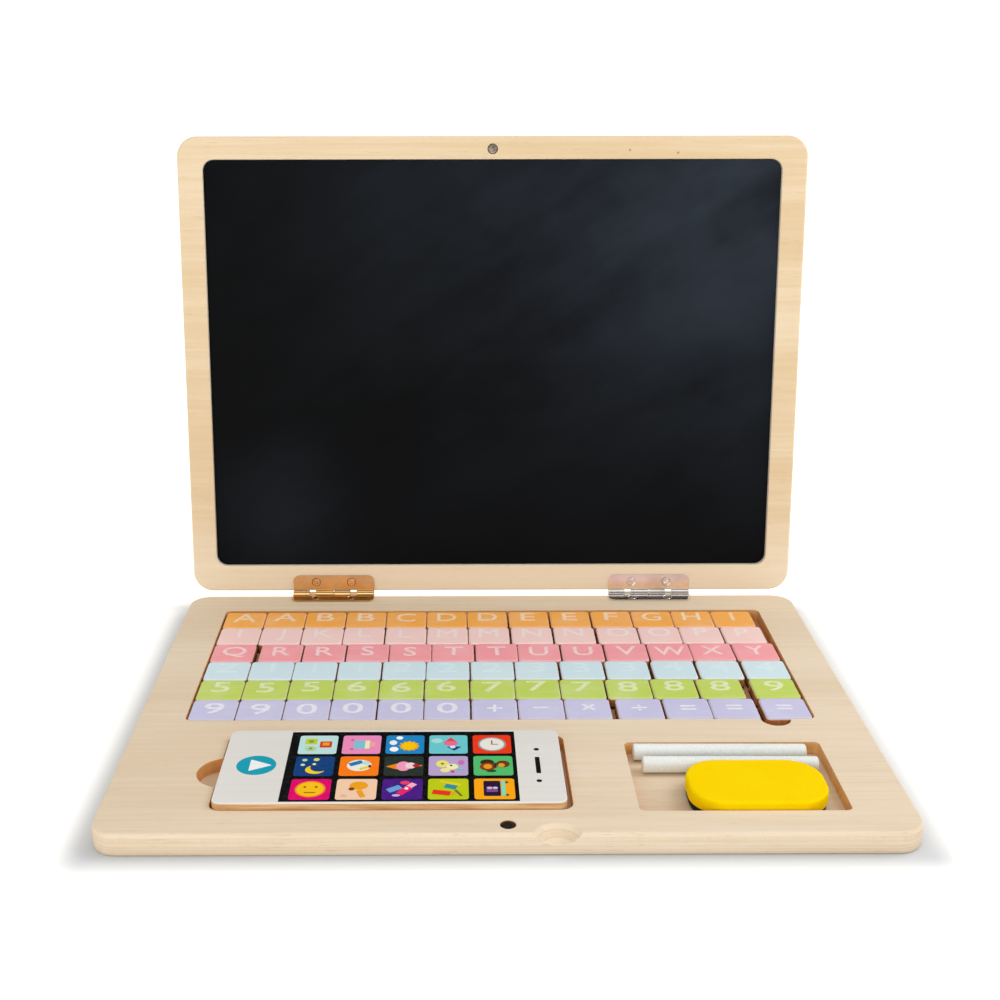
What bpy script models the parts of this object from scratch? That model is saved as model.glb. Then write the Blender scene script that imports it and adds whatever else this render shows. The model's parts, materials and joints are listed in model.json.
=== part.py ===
"""Wooden toy laptop: a plywood base with letter tiles, a toy phone, chalk and an eraser in its
recesses, and a chalkboard lid on two small hinges.

Frame: origin at the centre of the base's underside, +X to the player's right, +Y towards the
hinges, +Z up. The lid stands open against its stop. Lengths are in metres.
"""

import math

import bmesh
import bpy
from mathutils import Matrix, Vector

MM = 0.001

# --- driving dimensions ------------------------------------------------------------------
BOARD_W = 330 * MM            # base and lid, side to side
BOARD_D = 245 * MM            # base front to back, and lid height
CORNER_R = 10.8 * MM          # rounded corners of base and lid
EDGE_R = 1.2 * MM             # eased outer edges
FRAME_T = 6 * MM              # upper plywood layer, with the cut-outs
PANEL_T = 4 * MM              # plain plywood layer that closes the cut-outs
GAP = 0.3 * MM                # clearance between pieces that touch

# keyboard recess and its tiles
KEYS_X = 143.5 * MM           # half width of the recess
KEYS_BACK = 101.0 * MM
KEYS_FRONT = -26.3 * MM
KEYS_CORNER_R = 3 * MM
COLUMNS = 13
FIRST_TILE_X = -142.6 * MM    # left edge of every row
FRONT_ROW_Y = -15.6 * MM      # centre line of the row nearest the player
TILE_PITCH_X = 21.5 * MM
TILE_PITCH_Y = 20.95 * MM
TILE_GAP = 0.4 * MM
TILE_R = 2 * MM
TILE_WEB_T = 1.0 * MM         # strip that joins the tiles of one row
BACKING_T = 0.8 * MM          # magnetic sheet under the tiles
LAST_TILE_X = 132.2 * MM      # centre of the tile that sits apart, at the finger notch
KEY_NOTCH_X = 125.3 * MM      # finger notch in the recess's front wall
KEY_NOTCH_R = 6.8 * MM

# toy phone and its pocket
PHONE_L = 144 * MM
PHONE_W = 62.4 * MM
PHONE_PROUD = 3 * MM          # it stands this far above the base
PHONE_R = 4 * MM
PHONE_X = -47.4 * MM
PHONE_Y = -73.0 * MM
POCKET_LEFT = -120.5 * MM
POCKET_RIGHT = 27 * MM
POCKET_BACK = -41.4 * MM
POCKET_FRONT = -104.7 * MM
POCKET_R = 5 * MM
PHONE_NOTCH_X = -117.3 * MM   # finger notch at the phone's left end
PHONE_NOTCH_Y = -74.0 * MM
PHONE_NOTCH_R = 12.5 * MM

# chalk and eraser tray
TRAY_LEFT = 53.5 * MM
TRAY_RIGHT = 139.2 * MM
TRAY_BACK = -48.5 * MM
TRAY_FRONT = -105.8 * MM
TRAY_R = 2.5 * MM
CHALK_R = 3.6 * MM
CHALK_L = 75.4 * MM
CHALK_TAPER = 0.3 * MM        # the far end is this much thinner in radius
CHALKS = {"chalk_1": (57.1 * MM, -53.0 * MM), "chalk_2": (59.8 * MM, -64.2 * MM)}
ERASER_L = 57.4 * MM
ERASER_W = 35.6 * MM
ERASER_R = 14.5 * MM
ERASER_X = 103.8 * MM
ERASER_Y = -87.5 * MM
FELT_T = 2.6 * MM
FOAM_T = 6.2 * MM

# closing magnets, one in each front rail
MAGNET_T = 2.6 * MM
MAGNET_SINK = 0.2 * MM
BASE_MAGNET_R = 3.0 * MM
LID_MAGNET_R = 2.5 * MM
MAGNET_FROM_HINGE = 238.4 * MM

# thumb scoop in the base's front edge: a ball-shaped cut
SCOOP_X = 19.4 * MM
SCOOP_R = 11.2 * MM
SCOOP_FORWARD = 2.3 * MM
SCOOP_ABOVE = 5.3 * MM

# lid
LID_ANGLE = math.radians(96.5)
WINDOW_X = 151.9 * MM         # half width of the opening over the chalkboard
WINDOW_NEAR = 14.3 * MM       # from the lid's hinge edge
WINDOW_FAR = 233.2 * MM
WINDOW_R = 5.8 * MM
CHALKBOARD_T = 3.3 * MM

# hinges: the axis lies behind the base's back edge and above its top face
AXIS_BACK = 1.3 * MM
AXIS_UP = 0.9 * MM
HINGE_X = 87.3 * MM
LEAF_W = 44.7 * MM
LEAF_REACH = 10.2 * MM        # from the axis to the leaf's far edge
LEAF_R = 3.6 * MM
LEAF_T = 0.55 * MM
LEAF_OFFSET = 0.10 * MM       # from the axis to the leaf's near face
BARREL_R = 1.75 * MM
BORE_R = 1.05 * MM
PIN_R = 0.8 * MM
BASE_KNUCKLES = ((0.0, 9.0 * MM), (22.5 * MM, 31.5 * MM))
LID_KNUCKLES = ((12.4 * MM, 22.2 * MM), (34.9 * MM, LEAF_W))
SCREW_X = 9.7 * MM
SCREW_FROM_AXIS = 6.3 * MM
SCREW_HEAD_R = 2.1 * MM
SCREW_RIM = 0.3 * MM
SCREW_SHANK_R = 1.0 * MM
SCREW_L = 5.6 * MM
SCREW_TIP = 1.0 * MM
SCREW_SINK = 0.05 * MM

# --- places worked out from them -----------------------------------------------------------
BASE_TOP = PANEL_T + FRAME_T
PANEL_TOP = PANEL_T - GAP / 2
FRAME_BOTTOM = PANEL_T + GAP / 2
FLOOR = PANEL_TOP + GAP       # underside of whatever lies in a recess
AXIS_Y = BOARD_D / 2 + AXIS_BACK
AXIS_Z = BASE_TOP + AXIS_UP
TILE_TOP = BASE_TOP

WOOD = ("plywood", (0.82, 0.66, 0.43), 0.6, 0.0)
NICKEL = ("nickel_plate", (0.72, 0.70, 0.67), 0.25, 1.0)
MAGNET = ("magnet", (0.09, 0.07, 0.06), 0.45, 0.6)
CHALKBOARD = ("chalkboard_paint", (0.012, 0.013, 0.016), 0.6, 0.0)
BACKING = ("magnetic_sheet", (0.05, 0.04, 0.035), 0.8, 0.0)
PHONE_WHITE = ("phone_print", (0.78, 0.77, 0.74), 0.4, 0.0)
CHALK = ("chalk", (0.80, 0.81, 0.76), 0.9, 0.0)
FOAM = ("eraser_foam", (0.98, 0.72, 0.0), 0.8, 0.0)
FELT = ("eraser_felt", (0.012, 0.010, 0.010), 1.0, 0.0)
# tiles are laid by hand: extra gap in millimetres before some tiles of a row, counted from 0
ROW_GAPS = {
    "orange": {7: 0.5, 8: 0.6, 9: 0.5, 10: 0.2},
    "peach": {4: 0.3, 7: 0.8, 8: 0.6, 9: 1.0, 10: 0.3, 12: 0.4},
    "pink": {1: 2.4, 2: 0.4, 3: 0.4, 6: 0.4, 8: 0.4, 9: 0.6, 10: 0.4, 12: 0.4},
    "blue": {3: 0.3, 4: 0.3, 6: 0.3, 7: 0.3, 8: 0.7, 9: 0.8, 10: 1.4, 11: 0.8, 12: 1.2},
    "green": {5: 0.2, 6: 0.2, 9: 0.4, 10: 0.2, 11: 0.5, 12: 4.3},
    "violet": {4: 0.3, 6: 0.4, 7: 0.2, 9: 2.5, 10: 0.6},
}
ROW_PAINTS = {
    "orange": (0.87, 0.37, 0.08),
    "peach": (0.80, 0.50, 0.47),
    "pink": (0.84, 0.30, 0.32),
    "blue": (0.50, 0.72, 0.79),
    "green": (0.54, 0.68, 0.13),
    "violet": (0.57, 0.54, 0.77),
}


# --- helpers ---------------------------------------------------------------------------------
def clear_scene():
    for obj in list(bpy.data.objects):
        bpy.data.objects.remove(obj, do_unlink=True)


def material(name, color, roughness, metallic):
    """A Principled material, made once and shared by name."""
    found = bpy.data.materials.get(name)
    if found:
        return found
    made = bpy.data.materials.new(name)
    made.use_nodes = True
    shader = made.node_tree.nodes["Principled BSDF"]
    shader.inputs["Base Color"].default_value = (*color, 1.0)
    shader.inputs["Roughness"].default_value = roughness
    shader.inputs["Metallic"].default_value = metallic
    return made


def add_object(name, bm, finish=None, parent=None, location=(0, 0, 0), smooth=False):
    """Turn a bmesh into a named object with its own material."""
    bmesh.ops.recalc_face_normals(bm, faces=bm.faces)
    mesh = bpy.data.meshes.new(name)
    bm.to_mesh(mesh)
    bm.free()
    if smooth:
        mesh.shade_smooth()
        mesh.set_sharp_from_angle(angle=math.radians(35))
    obj = bpy.data.objects.new(name, mesh)
    bpy.context.collection.objects.link(obj)
    if finish:
        mesh.materials.append(material(*finish))
    obj.parent = parent
    obj.location = location
    return obj


def arc(center, radius, start, end, steps):
    """Points on an arc from start to end, in degrees, both ends included."""
    points = []
    for i in range(steps + 1):
        angle = math.radians(start + (end - start) * i / steps)
        points.append((center[0] + radius * math.cos(angle), center[1] + radius * math.sin(angle)))
    return points


def rounded_rect(x0, x1, y0, y1, radius, steps=6):
    """Outline of a rectangle with round corners, anticlockwise."""
    points = arc((x1 - radius, y0 + radius), radius, -90, 0, steps)
    points += arc((x1 - radius, y1 - radius), radius, 0, 90, steps)
    points += arc((x0 + radius, y1 - radius), radius, 90, 180, steps)
    points += arc((x0 + radius, y0 + radius), radius, 180, 270, steps)
    return points


def centered_outline(length, width, radius, steps=6):
    return rounded_rect(-length / 2, length / 2, -width / 2, width / 2, radius, steps)


def prism(outline, z0, z1, ease=0.0, ease_sides=("top", "bottom"), segments=2):
    """A bmesh of an outline raised from z0 to z1, with its rims eased."""
    bm = bmesh.new()
    rim = [bm.verts.new((x, y, z0)) for x, y in outline]
    floor = bm.faces.new(rim)
    raised = bmesh.ops.extrude_face_region(bm, geom=[floor])["geom"]
    top = [v for v in raised if isinstance(v, bmesh.types.BMVert)]
    bmesh.ops.translate(bm, verts=top, vec=(0, 0, z1 - z0))
    if ease:
        heights = {"bottom": z0, "top": z1}
        eased = [heights[side] for side in ease_sides]
        edges = [
            e for e in bm.edges
            if any(all(abs(v.co.z - z) < 1e-7 for v in e.verts) for z in eased)
        ]
        bmesh.ops.bevel(bm, geom=edges, offset=ease, segments=segments, profile=0.5,
                        affect="EDGES", material=-1)
    return bm


def cylinder(radius, length, axis="Z", sides=24, far_radius=None):
    """A bmesh cylinder or cone centred on the origin along an axis."""
    bm = bmesh.new()
    bmesh.ops.create_cone(bm, cap_ends=True, segments=sides, radius1=radius,
                          radius2=radius if far_radius is None else far_radius, depth=length)
    if axis == "X":
        bmesh.ops.rotate(bm, verts=bm.verts, matrix=Matrix.Rotation(math.pi / 2, 3, "Y"))
    return bm


def turned(profile, sides=20):
    """A bmesh of (radius, z) points spun about Z; the profile starts and ends on the axis."""
    bm = bmesh.new()
    verts = [bm.verts.new((r, 0, z)) for r, z in profile]
    edges = [bm.edges.new(pair) for pair in zip(verts, verts[1:])]
    bmesh.ops.spin(bm, geom=verts + edges, axis=(0, 0, 1), cent=(0, 0, 0), angle=2 * math.pi,
                   steps=sides, use_merge=True)
    bmesh.ops.remove_doubles(bm, verts=bm.verts, dist=1e-7)
    return bm


def join(*meshes):
    """Several bmeshes in one, freed as they are copied."""
    whole = bmesh.new()
    for part in meshes:
        mesh = bpy.data.meshes.new("joined")
        part.to_mesh(mesh)
        part.free()
        whole.from_mesh(mesh)
        bpy.data.meshes.remove(mesh)
    return whole


def moved(bm, x=0.0, y=0.0, z=0.0):
    bmesh.ops.translate(bm, verts=bm.verts, vec=(x, y, z))
    return bm


def combine(target, name, bm, operation):
    """Cut a shape from an object, or weld it on, with an exact Boolean."""
    tool = add_object(f"{target.name}_{name}_tool", bm, parent=target.parent,
                      location=target.location)
    tool.hide_render = True
    tool.display_type = "WIRE"
    boolean = target.modifiers.new(name, "BOOLEAN")
    boolean.operation = operation
    boolean.solver = "EXACT"
    boolean.object = tool


def cut(target, name, bm):
    combine(target, name, bm, "DIFFERENCE")


def weld(target, name, bm):
    combine(target, name, bm, "UNION")


# --- screws ----------------------------------------------------------------------------------
def screw_profile():
    """Countersunk screw from its head (z = 0) down to its tip, as (radius, z) points."""
    cone_end = -SCREW_RIM - (SCREW_HEAD_R - SCREW_SHANK_R)
    return [(0, 0), (SCREW_HEAD_R, 0), (SCREW_HEAD_R, -SCREW_RIM), (SCREW_SHANK_R, cone_end),
            (SCREW_SHANK_R, SCREW_TIP - SCREW_L), (0, -SCREW_L)]


def pilot_hole():
    """What a screw needs out of the wood: its cone and shank with a clearance all round."""
    slack = GAP * math.sqrt(2)
    mouth = SCREW_HEAD_R + slack
    shank = SCREW_SHANK_R + GAP
    cone_end = -SCREW_RIM - (mouth - shank)
    return turned([(0, 0), (mouth, 0), (mouth, -SCREW_RIM), (shank, cone_end),
                   (shank, -SCREW_L - GAP), (0, -SCREW_L - GAP)])


def screw_head_offset():
    """From the hinge axis to a screw's head, across the leaf."""
    return LEAF_OFFSET + SCREW_SINK


# --- base ------------------------------------------------------------------------------------
def board_outline(back):
    """Outline of base or lid, whose hinge edge lies at y = back."""
    return rounded_rect(-BOARD_W / 2, BOARD_W / 2, back - BOARD_D, back, CORNER_R, 8)


def hinge_centers():
    return {"left": -HINGE_X, "right": HINGE_X}


def make_base():
    back = BOARD_D / 2
    outline = board_outline(back)
    add_object("base_bottom_panel", prism(outline, 0, PANEL_TOP, EDGE_R, ("bottom",)), WOOD)

    frame = add_object("base_frame", prism(outline, FRAME_BOTTOM, BASE_TOP, EDGE_R, ("top",)), WOOD)
    below, above = FRAME_BOTTOM - MM, BASE_TOP + MM
    keys = rounded_rect(-KEYS_X, KEYS_X, KEYS_FRONT, KEYS_BACK, KEYS_CORNER_R)
    cut(frame, "keys", prism(keys, below, above))
    cut(frame, "key_notch", finger_notch(KEY_NOTCH_X, KEYS_FRONT, KEY_NOTCH_R))
    pocket = rounded_rect(POCKET_LEFT, POCKET_RIGHT, POCKET_FRONT, POCKET_BACK, POCKET_R)
    cut(frame, "pocket", prism(pocket, below, above))
    cut(frame, "phone_notch", finger_notch(PHONE_NOTCH_X, PHONE_NOTCH_Y, PHONE_NOTCH_R))
    tray = rounded_rect(TRAY_LEFT, TRAY_RIGHT, TRAY_FRONT, TRAY_BACK, TRAY_R, 3)
    cut(frame, "tray", prism(tray, below, above))
    scoop = bmesh.new()
    bmesh.ops.create_uvsphere(scoop, u_segments=32, v_segments=16, radius=SCOOP_R)
    cut(frame, "scoop", moved(scoop, SCOOP_X, -back - SCOOP_FORWARD, BASE_TOP + SCOOP_ABOVE))

    magnet_y = back - MAGNET_FROM_HINGE
    seat = MAGNET_T + MAGNET_SINK + GAP
    seat_z = BASE_TOP - seat / 2 + MM / 2
    cut(frame, "magnet_seat",
        moved(cylinder(BASE_MAGNET_R + GAP, seat + MM), 0, magnet_y, seat_z))
    magnet_z = BASE_TOP - MAGNET_SINK - MAGNET_T / 2
    add_object("base_magnet", cylinder(BASE_MAGNET_R, MAGNET_T), MAGNET,
               location=(0, magnet_y, magnet_z), smooth=True)

    head_z = AXIS_Z - screw_head_offset()
    screw_y = AXIS_Y - SCREW_FROM_AXIS
    holes = [
        moved(pilot_hole(), center + side * SCREW_X, screw_y, head_z)
        for center in hinge_centers().values() for side in (-1, 1)
    ]
    cut(frame, "pilot_holes", join(*holes))


def finger_notch(x, y, radius):
    """A round cutter right through the base's upper layer."""
    height = FRAME_T + 2 * MM
    return moved(cylinder(radius, height, sides=32), x, y, PANEL_T + FRAME_T / 2)


# --- letter tiles ----------------------------------------------------------------------------
def row_center_y(row):
    """Rows are numbered from the hinge side."""
    return FRONT_ROW_Y + (len(ROW_PAINTS) - 1 - row) * TILE_PITCH_Y


def tile_edges(color, columns):
    """(left, right) of each tile in a row."""
    edges = []
    left = FIRST_TILE_X
    for i in range(columns):
        left += ROW_GAPS[color].get(i, 0.0) * MM
        edges.append((left, left + TILE_PITCH_X - TILE_GAP))
        left += TILE_PITCH_X
    return edges


def tile_strip(x0, x1, z0, z1):
    """A strip of tile depth about y = 0."""
    half_depth = (TILE_PITCH_Y - TILE_GAP) / 2
    return prism(rounded_rect(x0, x1, -half_depth, half_depth, TILE_R, 3), z0, z1)


def tile_slots(edges, z0, z1):
    """Cutters for the gaps between neighbouring tiles."""
    half_y = TILE_PITCH_Y
    slots = []
    for (_, x0), (x1, _) in zip(edges, edges[1:]):
        slots.append(prism([(x0, -half_y), (x1, -half_y), (x1, half_y), (x0, half_y)], z0, z1))
    return join(*slots)


def make_tiles():
    backing_top = BACKING_T
    tile_bottom = BACKING_T + GAP
    tile_top = TILE_TOP - FLOOR
    last_row = len(ROW_PAINTS) - 1
    for row, (color, paint) in enumerate(ROW_PAINTS.items()):
        finish = (f"tile_paint_{color}", paint, 0.45, 0.0)
        edges = tile_edges(color, COLUMNS - 1 if row == last_row else COLUMNS)
        x0, x1 = edges[0][0], edges[-1][1]
        place = (0, row_center_y(row), FLOOR)
        tiles = add_object(f"tile_row_{color}", tile_strip(x0, x1, tile_bottom, tile_top),
                           finish, location=place)
        cut(tiles, "slots", tile_slots(edges, tile_bottom + TILE_WEB_T, tile_top + MM))
        add_object(f"tile_backing_{color}", tile_strip(x0, x1, 0, backing_top), BACKING,
                   location=place)
    half = (TILE_PITCH_X - TILE_GAP) / 2
    place = (LAST_TILE_X, row_center_y(last_row), FLOOR)
    add_object("tile_last_equals", tile_strip(-half, half, tile_bottom, tile_top), finish,
               location=place)
    add_object("tile_last_backing", tile_strip(-half, half, 0, backing_top), BACKING,
               location=place)


# --- loose pieces ----------------------------------------------------------------------------
def make_phone():
    height = BASE_TOP + PHONE_PROUD - FLOOR
    body = prism(centered_outline(PHONE_L, PHONE_W, PHONE_R), 0, height, 0.7 * MM)
    add_object("phone_body", body, PHONE_WHITE, location=(PHONE_X, PHONE_Y, FLOOR), smooth=True)


def make_eraser():
    outline = centered_outline(ERASER_L, ERASER_W, ERASER_R, 10)
    add_object("eraser_felt", prism(outline, 0, FELT_T), FELT,
               location=(ERASER_X, ERASER_Y, FLOOR), smooth=True)
    add_object("eraser_block", prism(outline, 0, FOAM_T, 0.8 * MM), FOAM,
               location=(ERASER_X, ERASER_Y, FLOOR + FELT_T + GAP), smooth=True)


def make_chalk():
    for name, (left, y) in CHALKS.items():
        stick = cylinder(CHALK_R, CHALK_L, "X", 20, CHALK_R - CHALK_TAPER)
        add_object(name, stick, CHALK,
                   location=(left + CHALK_L / 2, y, FLOOR + CHALK_R), smooth=True)


# --- lid, modelled closed about the hinge axis and opened by its pivot ------------------------
def make_lid_pivot():
    pivot = bpy.data.objects.new("lid_pivot", None)
    bpy.context.collection.objects.link(pivot)
    pivot.location = (0, AXIS_Y, AXIS_Z)
    pivot.rotation_euler = (-LID_ANGLE, 0, 0)
    return pivot


def make_lid(pivot):
    hinge_edge = -AXIS_BACK
    face = AXIS_UP
    outline = board_outline(hinge_edge)
    frame_top = face + FRAME_T - GAP / 2
    frame = add_object("lid_frame", prism(outline, face, frame_top, EDGE_R, ("bottom",)),
                       WOOD, pivot)
    window = rounded_rect(-WINDOW_X, WINDOW_X, hinge_edge - WINDOW_FAR, hinge_edge - WINDOW_NEAR,
                          WINDOW_R)
    cut(frame, "window", prism(window, face - MM, frame_top + MM))

    board_top = face + FRAME_T - GAP / 2
    board = rounded_rect(-WINDOW_X + GAP, WINDOW_X - GAP, hinge_edge - WINDOW_FAR + GAP,
                         hinge_edge - WINDOW_NEAR - GAP, WINDOW_R - GAP)
    add_object("chalkboard_panel", prism(board, board_top - CHALKBOARD_T, board_top),
               CHALKBOARD, pivot)

    panel_z = face + FRAME_T + GAP / 2
    add_object("lid_back_panel",
               prism(outline, panel_z, face + FRAME_T + PANEL_T, EDGE_R, ("top",)), WOOD, pivot)

    magnet_y = hinge_edge - MAGNET_FROM_HINGE
    seat = MAGNET_T + MAGNET_SINK + GAP
    cut(frame, "magnet_seat",
        moved(cylinder(LID_MAGNET_R + GAP, seat + MM), 0, magnet_y, face + seat / 2 - MM / 2))
    add_object("lid_magnet", cylinder(LID_MAGNET_R, MAGNET_T), MAGNET, pivot,
               (0, magnet_y, face + MAGNET_SINK + MAGNET_T / 2), smooth=True)

    holes = []
    for center in hinge_centers().values():
        for side in (-1, 1):
            hole = pilot_hole()
            bmesh.ops.rotate(hole, verts=hole.verts, matrix=Matrix.Rotation(math.pi, 3, "X"))
            holes.append(moved(hole, center + side * SCREW_X, -SCREW_FROM_AXIS,
                               screw_head_offset()))
    cut(frame, "pilot_holes", join(*holes))


# --- hinges ----------------------------------------------------------------------------------
def leaf_plate(far, near):
    """Plate with its two far corners rounded, from y = far to y = near, below the axis."""
    half = LEAF_W / 2
    outline = arc((half - LEAF_R, far + LEAF_R), LEAF_R, -90, 0, 5)
    outline += [(half, near), (-half, near)]
    outline += arc((-half + LEAF_R, far + LEAF_R), LEAF_R, 180, 270, 5)
    return prism(outline, -LEAF_OFFSET - LEAF_T, -LEAF_OFFSET)


def make_leaf(name, knuckles, center, parent, up):
    """One leaf with its knuckles. The plate lies below the axis, or above it where up is true."""
    near = -BARREL_R - 2 * GAP
    flip = Matrix.Scale(-1, 4, (0, 0, 1)) if up else Matrix.Identity(4)
    location = (center, 0, 0) if parent else (center, AXIS_Y, AXIS_Z)

    def place(bm):
        bmesh.ops.transform(bm, verts=bm.verts, matrix=flip)
        return bm

    leaf = add_object(name, place(leaf_plate(-LEAF_REACH, near)), NICKEL, parent, location)
    for i, (start, end) in enumerate(knuckles):
        x0, x1 = start - LEAF_W / 2, end - LEAF_W / 2
        tongue = prism([(x0, near - GAP), (x1, near - GAP), (x1, -BORE_R / 2), (x0, -BORE_R / 2)],
                       -LEAF_OFFSET - LEAF_T, -LEAF_OFFSET)
        weld(leaf, f"tongue_{i}", place(tongue))
        barrel = cylinder(BARREL_R, x1 - x0, "X")
        weld(leaf, f"barrel_{i}", moved(barrel, (x0 + x1) / 2))
    cut(leaf, "bore", cylinder(BORE_R, LEAF_W + 2 * MM, "X"))
    holes = [
        moved(cylinder(SCREW_HEAD_R + GAP, 4 * LEAF_T), side * SCREW_X, -SCREW_FROM_AXIS,
              -LEAF_OFFSET)
        for side in (-1, 1)
    ]
    cut(leaf, "screw_holes", place(join(*holes)))


def make_hinges(pivot):
    for side, center in hinge_centers().items():
        make_leaf(f"hinge_{side}_base_leaf", BASE_KNUCKLES, center, None, False)
        make_leaf(f"hinge_{side}_lid_leaf", LID_KNUCKLES, center, pivot, True)
        add_object(f"hinge_{side}_pin", cylinder(PIN_R, LEAF_W, "X", 16), NICKEL,
                   location=(center, AXIS_Y, AXIS_Z), smooth=True)
        for number, step in ((1, -SCREW_X), (2, SCREW_X)):
            x = center + step
            add_object(f"hinge_{side}_base_screw_{number}", turned(screw_profile()), NICKEL,
                       location=(x, AXIS_Y - SCREW_FROM_AXIS, AXIS_Z - screw_head_offset()),
                       smooth=True)
            lid_screw = add_object(f"hinge_{side}_lid_screw_{number}", turned(screw_profile()),
                                   NICKEL, pivot,
                                   Vector((x, -SCREW_FROM_AXIS, screw_head_offset())), True)
            lid_screw.rotation_euler = (math.pi, 0, 0)


def build():
    clear_scene()
    make_base()
    make_tiles()
    make_phone()
    make_eraser()
    make_chalk()
    pivot = make_lid_pivot()
    make_lid(pivot)
    make_hinges(pivot)


build()
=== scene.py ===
"""Looks of a wooden toy laptop: a plywood base with painted letter tiles, a toy phone, chalk and
an eraser in its recesses, and a chalkboard lid on two small nickel hinges.

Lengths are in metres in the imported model's frame: origin under the middle of the base, +X to the
player's right, +Y to the hinges, +Z up. The lid's pieces are shaped closed, about the hinge axis,
and then swung open.
"""

import json
import math
import random

import bmesh
import bpy
from mathutils import Matrix, Vector


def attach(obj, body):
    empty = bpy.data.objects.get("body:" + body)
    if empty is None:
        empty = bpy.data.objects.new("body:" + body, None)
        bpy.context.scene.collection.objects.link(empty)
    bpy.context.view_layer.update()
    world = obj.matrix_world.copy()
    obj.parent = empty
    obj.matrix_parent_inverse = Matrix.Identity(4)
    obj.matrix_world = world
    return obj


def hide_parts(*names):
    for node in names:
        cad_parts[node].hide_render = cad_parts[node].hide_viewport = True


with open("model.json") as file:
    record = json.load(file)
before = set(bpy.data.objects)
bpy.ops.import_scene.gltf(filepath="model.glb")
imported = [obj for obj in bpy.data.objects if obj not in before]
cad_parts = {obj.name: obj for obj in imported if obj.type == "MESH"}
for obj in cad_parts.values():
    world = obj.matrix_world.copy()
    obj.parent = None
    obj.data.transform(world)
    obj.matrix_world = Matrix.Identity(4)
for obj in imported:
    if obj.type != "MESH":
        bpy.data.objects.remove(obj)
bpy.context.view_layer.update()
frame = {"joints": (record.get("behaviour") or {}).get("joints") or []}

MM = 0.001
HAND = random.Random(7)       # the hand that laid and printed the tiles, and how far it strays
SANDED_OFF, PRINT_STRAY_X, PRINT_STRAY_Y, TILE_STRAY = 0.12, 0.4, 0.5, 0.06  # in millimetres
PRINT_TURN, TILE_TURN = 0.03, 0.006                                          # in radians

# --- sizes, as in the part ---------------------------------------------------------------------
# an outline is (x0, x1, y0, y1), a notch (x, y, radius), a height pair (bottom, top)
BOARD_W, BOARD_D, CORNER_R, EDGE_R = 330 * MM, 245 * MM, 10.8 * MM, 1.2 * MM
BASE_TOP, LAYER_LINE = 10 * MM, 4 * MM
RIM_EASE = 0.35 * MM          # sandpaper on the cut-outs' rims
SHARP_RIM = math.radians(40)  # edges sharper than this are eased
KEYS = (-143.5 * MM, 143.5 * MM, -26.3 * MM, 101.0 * MM)
KEYS_CORNER_R = 3 * MM
KEY_NOTCH = (125.3 * MM, -26.3 * MM, 6.8 * MM)
POCKET = (-120.5 * MM, 27 * MM, -104.7 * MM, -41.4 * MM)
POCKET_R = 5 * MM
PHONE_NOTCH = (-117.3 * MM, -74 * MM, 12.5 * MM)
TRAY = (53.5 * MM, 139.2 * MM, -105.8 * MM, -48.5 * MM)
TRAY_R = 2.5 * MM
SCOOP = (19.4 * MM, -124.8 * MM, 15.3 * MM)
SCOOP_R = 11.2 * MM
MAGNET_Y = -115.9 * MM

TILE_W, TILE_D, TILE_R = 21.1 * MM, 20.55 * MM, 2 * MM
TILE_PLAN = (-TILE_W / 2, TILE_W / 2, -TILE_D / 2, TILE_D / 2)
TILE_PITCH_X, TILE_PITCH_Y = 21.5 * MM, 20.95 * MM
FIRST_TILE_X, FRONT_ROW_Y = -142.6 * MM, -15.6 * MM
LAST_TILE_X = 132.2 * MM
SHEET_Z = (4.15 * MM, 4.95 * MM)
TILE_Z = (5.25 * MM, 10 * MM)
TILE_EASE = 0.9 * MM
GLYPH_CAP = 10 * MM           # height of a capital letter
INK_RISE = 0.05 * MM
INK_FLATTEN = 0.4             # print height after the strokes have swollen

PHONE = (-119.4 * MM, 24.6 * MM, -104.2 * MM, -41.8 * MM)
PHONE_Z = (4.15 * MM, 13 * MM)
PHONE_R, PHONE_EASE = 4 * MM, 0.6 * MM
SCREEN = (-92.2 * MM, 5.3 * MM, -103.3 * MM, -43.9 * MM)
ICON_SIZE = 16.6 * MM
ICON_X = [x * MM for x in (-80.1, -61.2, -42.4, -23.6, -4.7)]
ICON_Y = [y * MM for y in (-55.6, -74.4, -93.6)]
PHONE_MARKS = (               # kind, colour, x, y, width, height in millimetres, layer, turn
    ("disc", "#0FA0B8", -104.7, -73.4, 16.8, 16.4, 1, 0),
    ("wedge", "#F4F6F6", -104.3, -73.4, 11.4, 12.6, 2, -math.pi / 2),
    ("box", "#101012", 14.2, -73.9, 2, 13.9, 1, 0),
    ("disc", "#101012", 14.3, -60.2, 2.3, 2.3, 1, 0),
    ("disc", "#101012", 14.0, -87.1, 2.3, 2.3, 1, 0),
)
LAYER_STEP = 0.02 * MM        # from one layer of print to the next
ROUNDING = {"box": 0.08, "wedge": 0.06}    # of a shape's corners, as a share of its size
STAR_DENT = 0.78              # radius between a star's points, as a share of theirs
CHALK_R, CHALK_FAR_R, CHALK_L = 3.6 * MM, 3.3 * MM, 75.4 * MM
CHALK_Z = 7.75 * MM
CHALKS = {"chalk_1": (57.1 * MM, -53.0 * MM), "chalk_2": (59.8 * MM, -64.2 * MM)}
ERASER = (75.1 * MM, 132.5 * MM, -105.3 * MM, -69.7 * MM)
ERASER_R = 14.5 * MM
FELT_Z = (4.15 * MM, 6.75 * MM)
FOAM_Z = (7.05 * MM, 13.25 * MM)

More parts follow.
